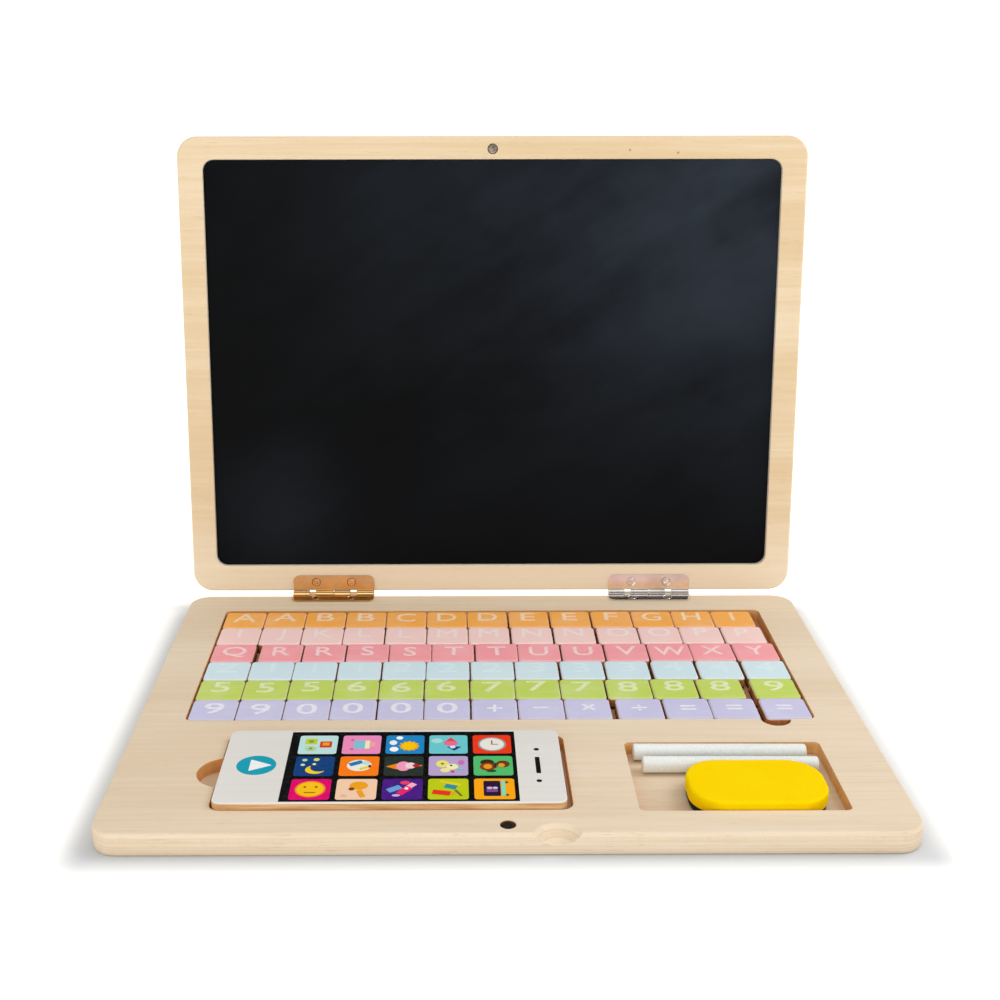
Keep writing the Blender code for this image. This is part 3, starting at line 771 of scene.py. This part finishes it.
def make_magnets():
    thick, edge = 2.6 * MM, 0.25 * MM
    for name, node, body, radius, y, z, colors in (
        ("base_closing_magnet", "base_magnet", "base", 3.0 * MM, MAGNET_Y, 7.2 * MM,
         ("#4A3F38", "#1C1714")),
        ("lid_closing_magnet", "lid_magnet", "lid", 2.5 * MM, LID_MAGNET_Y, 1.1 * MM,
         ("#B5A99B", "#7C6E61")),
    ):
        magnet = spun([(0, 0), (radius - edge, 0), (radius, edge), (radius, thick - edge),
                       (radius - edge, thick), (0, thick)])
        finish = magnet_finish(name, *colors)
        piece(name, shifted(magnet, 0, y, z), [finish], body, [node],
              lid=body == "lid", sharp=60)


# --- hinges ------------------------------------------------------------------------------------
def knuckle(x0, x1):
    """A rolled barrel section about the X axis, with chamfered ends and its bore open."""
    edge = 0.12 * MM
    bm = bmesh.new()
    section = [(BORE_R, x0), (BARREL_R - edge, x0), (BARREL_R, x0 + edge), (BARREL_R, x1 - edge),
               (BARREL_R - edge, x1), (BORE_R, x1)]
    verts = [bm.verts.new((x, 0, r)) for r, x in section]
    edges = [bm.edges.new((a, b)) for a, b in zip(verts, verts[1:] + verts[:1])]
    bmesh.ops.spin(bm, geom=verts + edges, axis=(1, 0, 0), cent=(0, 0, 0), angle=2 * math.pi,
                   steps=40, use_merge=True)
    bmesh.ops.remove_doubles(bm, verts=bm.verts, dist=1e-7)
    bmesh.ops.recalc_face_normals(bm, faces=bm.faces)
    return bm


def hinge_leaf(knuckles):
    """A leaf about the X axis: its plate lies below the axis and reaches towards -Y."""
    half = LEAF_W / 2
    z0, z1 = -LEAF_OFFSET - LEAF_T, -LEAF_OFFSET
    near = -BARREL_R - 0.6 * MM
    plate = slab(-half, half, -LEAF_REACH, near + LEAF_R, z0, z1, LEAF_R, 6)
    square_end = slab(-half - MM, half + MM, near, near + 2 * LEAF_R, z0 - MM, z1 + MM)
    hole = [(0, MM), (SCREW_HEAD_R + HEAD_SLACK, MM), (SCREW_HEAD_R + HEAD_SLACK, 0),
            (SCREW_HEAD_R - 0.25 * MM, -LEAF_T - 0.2 * MM), (0, -LEAF_T - 0.2 * MM)]
    holes = [shifted(spun(hole, 32), side * SCREW_X, -SCREW_FROM_AXIS, z1) for side in (-1, 1)]
    plate = carved(plate, [square_end, *holes])
    barrels = []
    for start, end in knuckles:
        x0, x1 = start - half, end - half
        barrels += [slab(x0, x1, near - 0.3 * MM, -BORE_R - 0.15 * MM, z0, z1), knuckle(x0, x1)]
    return carved(plate, barrels, operation="UNION")


def screw(x, y, head_z, down, turn):
    """Countersunk cross-head screw with its thread in the wood."""
    core, ridge, pitch = 0.72 * MM, 1.0 * MM, 0.62 * MM
    profile = [(0, 0), (SCREW_HEAD_R - 0.1 * MM, 0), (SCREW_HEAD_R, -0.1 * MM),
               (SCREW_HEAD_R, -0.3 * MM), (ridge, -1.4 * MM)]
    for i in range(5):
        z = -1.5 * MM - i * pitch
        profile += [(core, z - 0.12 * MM), (core, z - 0.3 * MM), (ridge, z - 0.45 * MM)]
    profile += [(core, -4.8 * MM), (0, -SCREW_L)]
    body = spun(profile, 32)
    slots = []
    for angle in (turn, turn + math.pi / 2):
        bar = slab(-1.25 * MM, 1.25 * MM, -0.24 * MM, 0.24 * MM, -0.7 * MM, 0.5 * MM)
        slots.append(turned(bar, angle))
    body = carved(body, slots)
    if not down:
        turned(body, math.pi, "X")
    return shifted(body, x, y, head_z)


def make_hinges():
    nickel = nickel_finish()
    flip = Matrix.Scale(-1, 4, (0, 0, 1))
    for side, center in HINGE_X.items():
        base_leaf = shifted(hinge_leaf(BASE_KNUCKLES), center, HINGE_AXIS.y, HINGE_AXIS.z)
        piece(f"hinge_{side}_leaf_on_base", base_leaf, [nickel], "base",
              [f"hinge_{side}_base_leaf"])
        lid_leaf = hinge_leaf(LID_KNUCKLES)
        bmesh.ops.transform(lid_leaf, verts=lid_leaf.verts, matrix=flip)
        bmesh.ops.recalc_face_normals(lid_leaf, faces=lid_leaf.faces)
        piece(f"hinge_{side}_leaf_on_lid", shifted(lid_leaf, center), [nickel], "lid",
              [f"hinge_{side}_lid_leaf"], lid=True)

        half, dome = LEAF_W / 2, 0.35 * MM
        pin = along_x(spun([(0, -half), (PIN_R * 0.7, -half + dome * 0.3),
                            (PIN_R, -half + dome), (PIN_R, half - dome),
                            (PIN_R * 0.7, half - dome * 0.3), (0, half)], 24))
        piece(f"hinge_{side}_pin_wire", shifted(pin, center, HINGE_AXIS.y, HINGE_AXIS.z),
              [nickel], "base", [f"hinge_{side}_pin"], sharp=50)
        for number, step in ((1, -SCREW_X), (2, SCREW_X)):
            turn = HAND.uniform(0, math.pi / 2)
            base_screw = screw(center + step, HINGE_AXIS.y - SCREW_FROM_AXIS,
                               HINGE_AXIS.z - LEAF_OFFSET, True, turn)
            piece(f"hinge_{side}_screw_in_base_{number}", base_screw, [nickel], "base",
                  [f"hinge_{side}_base_screw_{number}"])
            lid_screw = screw(center + step, -SCREW_FROM_AXIS, LEAF_OFFSET, False, turn + 0.5)
            piece(f"hinge_{side}_screw_in_lid_{number}", lid_screw, [nickel], "lid",
                  [f"hinge_{side}_lid_screw_{number}"], lid=True)


# --- letter tiles ------------------------------------------------------------------------------
def stray(reach):
    return HAND.uniform(-reach, reach)


def glyph_mesh(character, scale):
    """One raised character, centred, as a mesh."""
    text = bpy.data.curves.new("glyph", "FONT")
    text.body = character
    text.align_x = "CENTER"
    text.resolution_u = 3
    text.extrude = INK_RISE / scale
    text.bevel_depth = STROKE_SWELL / scale
    text.bevel_resolution = 0
    obj = new_object("glyph", text)
    bpy.context.view_layer.update()
    mesh = bpy.data.meshes.new_from_object(
        obj.evaluated_get(bpy.context.evaluated_depsgraph_get()))
    bpy.data.objects.remove(obj, do_unlink=True)
    return mesh


def cap_scale():
    """Size of the lettering at which a capital is GLYPH_CAP high."""
    heights = [v.co.y for v in glyph_mesh("H", 1.0).vertices]
    return GLYPH_CAP / (max(heights) - min(heights))


def place_glyph(bm, character, scale, x, y, z):
    """Print a character on a tile's top, in the tile's second finish."""
    glyph = bmesh.new()
    glyph.from_mesh(glyph_mesh(character, scale))
    bmesh.ops.remove_doubles(glyph, verts=glyph.verts, dist=1e-5)
    xs = [v.co.x for v in glyph.verts]
    middle = (min(xs) + max(xs)) / 2
    bmesh.ops.translate(glyph, verts=glyph.verts, vec=(-middle, -GLYPH_CAP / scale / 2, 0))
    width = scale * GLYPH_WIDTHS.get(character, GLYPH_WIDTH)
    bmesh.ops.scale(glyph, verts=glyph.verts, vec=(width, scale, scale * INK_FLATTEN))
    shifted(turned(glyph, stray(PRINT_TURN)), x, y, z)
    for face in glyph.faces:
        face.material_index = 1
    return merged(bm, glyph)


def make_tile(name, node, body, color, character, x, y, finishes, scale):
    top = TILE_Z[1] + HAND.uniform(-SANDED_OFF, 0.0) * MM
    tile = slab(*TILE_PLAN, TILE_Z[0], top, TILE_R, 5)
    ease(tile, top, TILE_EASE, 4)
    ease(tile, TILE_Z[0], 0.25 * MM, 2)
    tile = place_glyph(tile, character, scale, stray(PRINT_STRAY_X) * MM,
                       GLYPH_RISE[color] + stray(PRINT_STRAY_Y) * MM, top)
    turned(tile, stray(TILE_TURN))
    shifted(tile, x + stray(TILE_STRAY) * MM, y + stray(TILE_STRAY) * MM)
    piece(name, tile, finishes, body, [node])


def sheet_under(x, y):
    sheet = slab(*TILE_PLAN, *SHEET_Z, TILE_R, 4)
    ease(sheet, SHEET_Z[1], 0.08 * MM, 1)
    return shifted(sheet, x, y)


def make_tiles():
    magnetic_sheet = magnetic_sheet_finish()
    scale = cap_scale()
    for row, (color, characters) in enumerate(ROWS.items()):
        finishes = [tile_finish(color), ink_finish(color)]
        y = FRONT_ROW_Y + (len(ROWS) - 1 - row) * TILE_PITCH_Y
        left = FIRST_TILE_X
        sheets = []
        for i, character in enumerate(characters):
            left += ROW_GAPS[color].get(i, 0.0) * MM
            x = left + TILE_W / 2
            left += TILE_PITCH_X
            if color == "violet" and i == len(characters) - 1:
                make_tile("tile_violet_last", "tile_last_equals", "tile_last", color, character,
                          LAST_TILE_X, y, finishes, scale)
                piece("tile_violet_last_sheet", sheet_under(LAST_TILE_X, y), [magnetic_sheet],
                      "tile_last", ["tile_last_backing"])
            else:
                make_tile(f"tile_{color}_{i + 1:02d}", f"tile_row_{color}", f"tiles_{color}",
                          color, character, x, y, finishes, scale)
                sheets.append(sheet_under(x, y))
        piece(f"tile_{color}_sheets", merged(*sheets), [magnetic_sheet], f"tiles_{color}",
              [f"tile_backing_{color}"])


# --- toy phone ---------------------------------------------------------------------------------
# Each picture: its ground, then shapes in half-widths of the picture about its middle, as
# (kind, colour, x, y, width, height) and a turn where it has one
PICTURES = [
    [
        "#BFE5E4", ("box", "#C9CF36", -0.38, 0.36, 0.62, 0.6),
        ("disc", "#7FA83A", -0.38, 0.36, 0.3, 0.3), ("box", "#D63A26", 0.4, 0.02, 0.62, 0.66),
        ("box", "#F5A11E", 0.4, 0.06, 0.36, 0.34), ("disc", "#B9D79A", -0.36, -0.42, 0.56, 0.52),
        ("disc", "#6E9B4A", -0.36, -0.42, 0.2, 0.2),
    ],
    [
        "#F08FC0", ("box", "#7CC7DA", -0.1, 0, 0.62, 0.86),
        ("box", "#F3EBC6", 0.3, 0, 0.26, 0.86), ("box", "#F6A9A0", 0.56, 0, 0.3, 0.52),
        ("disc", "#C9679C", -0.5, 0.5, 0.18, 0.18), ("disc", "#C9679C", -0.5, -0.5, 0.18, 0.18),
    ],
    [
        "#1E87C6", ("disc", "#FFFFFF", -0.3, 0.72, 0.36, 0.36),
        ("disc", "#F1F6FA", -0.62, 0.2, 0.4, 0.5), ("disc", "#FFFFFF", -0.56, -0.52, 0.46, 0.5),
        ("star", "#F7B500", 0.22, -0.18, 1.12, 1.12),
        ("disc", "#FFC800", 0.22, -0.18, 0.74, 0.74),
    ],
    [
        "#6CCBD3", ("disc", "#A6E1E0", -0.6, 0.4, 0.6, 0.5),
        ("wedge", "#E8452F", 0.12, 0.36, 0.9, 0.8), ("disc", "#F06E9A", 0.12, 0.1, 0.74, 0.5),
        ("wedge", "#23357F", 0.3, -0.4, 0.9, 0.56, math.pi),
        ("disc", "#E9E4F2", 0.22, -0.3, 0.3, 0.3),
    ],
    [
        "#F03A16", ("disc", "#8FA6A4", 0, 0, 1.46, 1.5), ("disc", "#ECE9E1", 0, 0, 1.26, 1.3),
        ("box", "#4A4A46", 0, 0.18, 0.06, 0.44), ("box", "#4A4A46", 0.14, -0.02, 0.34, 0.06),
        ("disc", "#D8352A", 0, 0, 0.12, 0.12),
    ],
    [
        "#10407E", ("disc", "#F6D222", 0.06, -0.36, 1.0, 0.86),
        ("disc", "#10407E", 0.26, -0.14, 0.92, 0.84), ("star", "#B5DDB0", -0.54, 0.62, 0.3, 0.3),
        ("star", "#D9E27A", 0.06, 0.66, 0.34, 0.34), ("star", "#C6E6D6", -0.6, 0.12, 0.26, 0.26),
        ("star", "#E7F0C0", -0.02, 0.18, 0.22, 0.22),
    ],
    [
        "#FF7E12", ("disc", "#F3EFE4", 0, 0.06, 1.26, 1.16),
        ("box", "#1D7DB8", -0.18, 0.28, 0.72, 0.34, 0.5),
        ("disc", "#BFE0E6", 0.34, 0.3, 0.4, 0.4), ("box", "#E5D52B", 0.28, -0.2, 0.56, 0.2, 0.5),
        ("disc", "#7C2A22", 0.54, -0.04, 0.16, 0.3),
    ],
    [
        "#28332B", ("wedge", "#F08A1C", -0.52, -0.06, 0.72, 0.8, math.pi / 2),
        ("disc", "#F59FC0", -0.02, -0.04, 0.72, 0.96),
        ("disc", "#FBD3DC", 0.34, 0.02, 0.54, 0.62), ("disc", "#B5221D", 0.62, 0.02, 0.34, 0.34),
        ("box", "#D9772C", 0.86, 0, 0.16, 0.12, 0.3),
    ],
    [
        "#BBA6D2", ("disc", "#EFE672", -0.3, 0.2, 0.66, 0.72),
        ("disc", "#F4F0B8", 0.2, -0.1, 0.6, 0.6), ("disc", "#EFE9A0", -0.16, -0.46, 0.5, 0.46),
        ("disc", "#8A7A3A", -0.3, 0.2, 0.18, 0.18), ("disc", "#2F2A3A", 0.14, 0.02, 0.14, 0.14),
        ("disc", "#D06FB0", 0.66, 0.34, 0.3, 0.44), ("disc", "#93C6DA", 0.6, -0.32, 0.34, 0.26),
        ("disc", "#D4524E", 0.22, -0.62, 0.16, 0.2),
    ],
    [
        "#53BE6E", ("disc", "#3A2A14", -0.3, 0.34, 0.7, 0.6),
        ("disc", "#6B3A18", 0.5, 0.16, 0.7, 0.7), ("disc", "#8A3E1A", -0.28, -0.12, 0.8, 0.8),
        ("disc", "#F09A1E", -0.28, -0.1, 0.44, 0.5), ("disc", "#E9A126", 0.42, 0.02, 0.34, 0.4),
        ("box", "#4A2414", 0.1, 0.0, 0.14, 0.5), ("disc", "#2E4A22", -0.1, -0.56, 0.5, 0.22),
    ],
    [
        "#E3006E", ("disc", "#F58A12", 0, 0.02, 1.52, 1.56),
        ("disc", "#FBC414", 0, 0.02, 1.34, 1.38), ("disc", "#A8661A", -0.28, 0.22, 0.14, 0.2),
        ("disc", "#A8661A", 0.28, 0.22, 0.14, 0.2), ("box", "#A8661A", 0, -0.32, 0.56, 0.09),
    ],
    [
        "#F6CFAE", ("disc", "#F2A51C", 0.1, 0.34, 0.92, 0.8),
        ("disc", "#8E3A1A", -0.24, 0.02, 0.3, 0.3),
        ("box", "#F0A322", 0.24, -0.44, 0.28, 0.7, 0.35),
        ("disc", "#E9B9A6", -0.6, -0.62, 0.3, 0.24),
    ],
    [
        "#4B1A86", ("disc", "#EF4160", 0.12, 0.62, 0.5, 0.36),
        ("box", "#67A7DC", -0.4, 0.02, 0.74, 0.4, 0.6),
        ("box", "#F5B6CC", 0.4, 0.3, 0.6, 0.34, 0.9),
        ("box", "#F0246E", 0.1, -0.16, 0.86, 0.4, 0.9),
        ("disc", "#C9B9EC", -0.3, -0.62, 0.4, 0.22), ("disc", "#FFFFFF", 0.2, 0.04, 0.2, 0.2),
    ],
    [
        "#BFCE12", ("box", "#E9D31A", 0.1, 0.58, 1.1, 0.2, -0.35),
        ("box", "#2A93A3", 0.12, 0.22, 0.62, 0.4, -0.35),
        ("box", "#E9351B", -0.34, -0.36, 0.9, 0.42, -0.2),
        ("wedge", "#F2A02A", 0.24, -0.42, 0.34, 0.34, -1.6),
        ("box", "#6B7A1E", 0.5, -0.4, 0.12, 0.66, 0.5),
    ],
    [
        "#FFA90A", ("box", "#241238", -0.12, 0.04, 0.84, 1.46),
        ("box", "#7E4E8E", -0.12, -0.06, 0.56, 0.5), ("disc", "#D9C2D9", -0.24, 0.08, 0.26, 0.22),
        ("disc", "#D9C2D9", 0.04, 0.08, 0.26, 0.22), ("box", "#7FE0C0", 0.44, 0.04, 0.2, 1.46),
        ("disc", "#2A6A4A", 0.62, 0.62, 0.16, 0.2), ("disc", "#2A6A4A", 0.62, -0.6, 0.16, 0.2),
    ],
]


def shape_bm(kind, width, height):
    """A flat printed shape about the origin."""
    bm = bmesh.new()
    if kind in ("panel", "box"):
        bmesh.ops.create_grid(bm, x_segments=1, y_segments=1, size=0.5)
    else:
        sides = {"wedge": 3, "star": 24, "disc": 32}[kind]
        bmesh.ops.create_circle(bm, cap_ends=True, segments=sides, radius=0.5)
    if kind in ROUNDING:
        bmesh.ops.bevel(bm, geom=bm.verts[:], offset=ROUNDING[kind], segments=3, profile=0.5,
                        affect="VERTICES", material=-1)
    elif kind == "star":
        for vert in list(bm.verts)[1::2]:
            vert.co *= STAR_DENT
    bmesh.ops.scale(bm, verts=bm.verts, vec=(width, height, 1))
    return bm


def printed(kind, code, x, y, width, height, layer, turn=0.0):
    """A printed shape on the phone's face, a hair above the layer before it."""
    bm = turned(shape_bm(kind, width, height), turn)
    raise_faces(bm, LAYER_STEP)
    shifted(bm, x, y, PHONE_Z[1] + (layer - 0.5) * LAYER_STEP)
    ink = bm.loops.layers.float_color.new("ink")
    for face in bm.faces:
        for loop in face.loops:
            loop[ink] = paint(code)
    return bm


def make_phone():
    block = slab(*PHONE, *PHONE_Z, PHONE_R, 8)
    ease(block, PHONE_Z[1], PHONE_EASE, 4)
    ease(block, PHONE_Z[0], PHONE_EASE, 4)
    piece("phone_block", block, [phone_finish()], "phone", ["phone_body"])

    x0, x1, y0, y1 = SCREEN
    prints = [printed("panel", "#050506", (x0 + x1) / 2, (y0 + y1) / 2, x1 - x0, y1 - y0, 1)]
    prints += [
        printed(kind, code, x * MM, y * MM, width * MM, height * MM, layer, turn)
        for kind, code, x, y, width, height, layer, turn in PHONE_MARKS
    ]
    places = [(x, y) for y in ICON_Y for x in ICON_X]
    half = ICON_SIZE / 2
    for (x, y), (ground, *shapes) in zip(places, PICTURES):
        prints.append(printed("box", ground, x, y, ICON_SIZE, ICON_SIZE, 2))
        for layer, (kind, code, u, v, width, height, *turn) in enumerate(shapes, start=3):
            prints.append(printed(kind, code, x + u * half, y + v * half, width * half,
                                  height * half, layer, *turn))
    piece("phone_pictures", merged(*prints), [print_finish()], "phone", [],
          even_shading=False)


# --- chalk and eraser --------------------------------------------------------------------------
def make_chalk():
    finish = chalk_finish()
    edge, rings = 0.5 * MM, 24
    for name, (left, y) in CHALKS.items():
        profile = [(0, 0), (CHALK_R - edge, 0.05 * MM), (CHALK_R - 0.12 * MM, edge * 0.5),
                   (CHALK_R, edge * 1.4)]
        for i in range(1, rings):
            along = i / rings
            radius = CHALK_R + (CHALK_FAR_R - CHALK_R) * along - HAND.uniform(0, 0.05) * MM
            profile.append((radius, CHALK_L * along))
        profile += [(CHALK_FAR_R - 0.1 * MM, CHALK_L - edge), (CHALK_FAR_R - edge, CHALK_L),
                    (0, CHALK_L)]
        stick = shifted(along_x(spun(profile, 40)), left, y, CHALK_Z)
        piece(f"{name}_stick", stick, [finish], name, [name], sharp=60)


def make_eraser():
    block = slab(*ERASER, *FOAM_Z, ERASER_R, 14)
    ease(block, FOAM_Z[1], 1.3 * MM, 5)
    ease(block, FOAM_Z[0], 0.5 * MM, 2)
    foam = piece("eraser_foam_block", block, [foam_finish()], "eraser", ["eraser_block"],
                 sharp=60)

    inset = 0.5 * MM
    x0, x1, y0, y1 = ERASER
    pad = slab(x0 + inset, x1 - inset, y0 + inset, y1 - inset, FELT_Z[0], FOAM_Z[0],
               ERASER_R - inset, 14)
    ease(pad, FELT_Z[0], 0.5 * MM, 2)
    felt = piece("eraser_felt_pad", pad, [felt_finish()], "eraser", ["eraser_felt"],
                 sharp=60)


# --- studio ------------------------------------------------------------------------------------
def stage_sheet(name, bm, finish):
    """A sheet of the studio, which is not part of the toy."""
    obj = new_object(name, as_mesh(bm, name))
    obj.data.materials.append(finish)
    return obj


def flat_sheet(reach):
    bm = bmesh.new()
    bmesh.ops.create_grid(bm, x_segments=1, y_segments=1, size=reach)
    return bm


def make_studio():
    stage_sheet("studio_floor", flat_sheet(FLOOR_REACH), floor_finish())
    hanging = turned(flat_sheet(CURTAIN_REACH), -math.pi / 2, "X")
    curtain = stage_sheet("dark_curtain", shifted(hanging, 0, CURTAIN_Y, CURTAIN_Z),
                          curtain_finish())
    curtain.visible_camera = curtain.visible_diffuse = curtain.visible_shadow = False

    for name, place, size, power, aim in LIGHTS:
        lamp = bpy.data.lights.new(name, "AREA")
        lamp.size, lamp.energy = size, power
        obj = new_object(name, lamp)
        obj.location = place
        obj.rotation_mode = "QUATERNION"
        obj.rotation_quaternion = (Vector(aim) - Vector(place)).to_track_quat("-Z", "Y")

    world = bpy.data.worlds.new("white_studio")
    world.use_nodes = True
    tree = world.node_tree
    light, seen = tree.nodes["Background"], tree.nodes.new("ShaderNodeBackground")
    for ground, color, strength in (
        (light, WORLD_COLOR, WORLD_STRENGTH), (seen, SEEN_WORLD_COLOR, SEEN_WORLD_STRENGTH),
    ):
        ground.inputs["Color"].default_value = color
        ground.inputs["Strength"].default_value = strength
    ray = tree.nodes.new("ShaderNodeLightPath")
    mix = tree.nodes.new("ShaderNodeMixShader")
    tree.links.new(ray.outputs["Is Camera Ray"], mix.inputs["Fac"])
    tree.links.new(light.outputs["Background"], mix.inputs[1])
    tree.links.new(seen.outputs["Background"], mix.inputs[2])
    tree.links.new(mix.outputs["Shader"], tree.nodes["World Output"].inputs["Surface"])
    scene = bpy.context.scene
    scene.world = world
    scene.view_settings.view_transform = "Standard"

    camera = bpy.data.cameras.new("camera")
    camera.lens, camera.sensor_width, camera.shift_x = CAMERA_LENS, CAMERA_SENSOR, CAMERA_SHIFT
    camera_obj = new_object("camera", camera)
    camera_obj.location = CAMERA_PLACE
    camera_obj.rotation_euler = CAMERA_TURN
    scene.camera = camera_obj


make_studio()
make_base()
make_lid()
make_magnets()
make_hinges()
make_tiles()
make_phone()
make_chalk()
make_eraser()
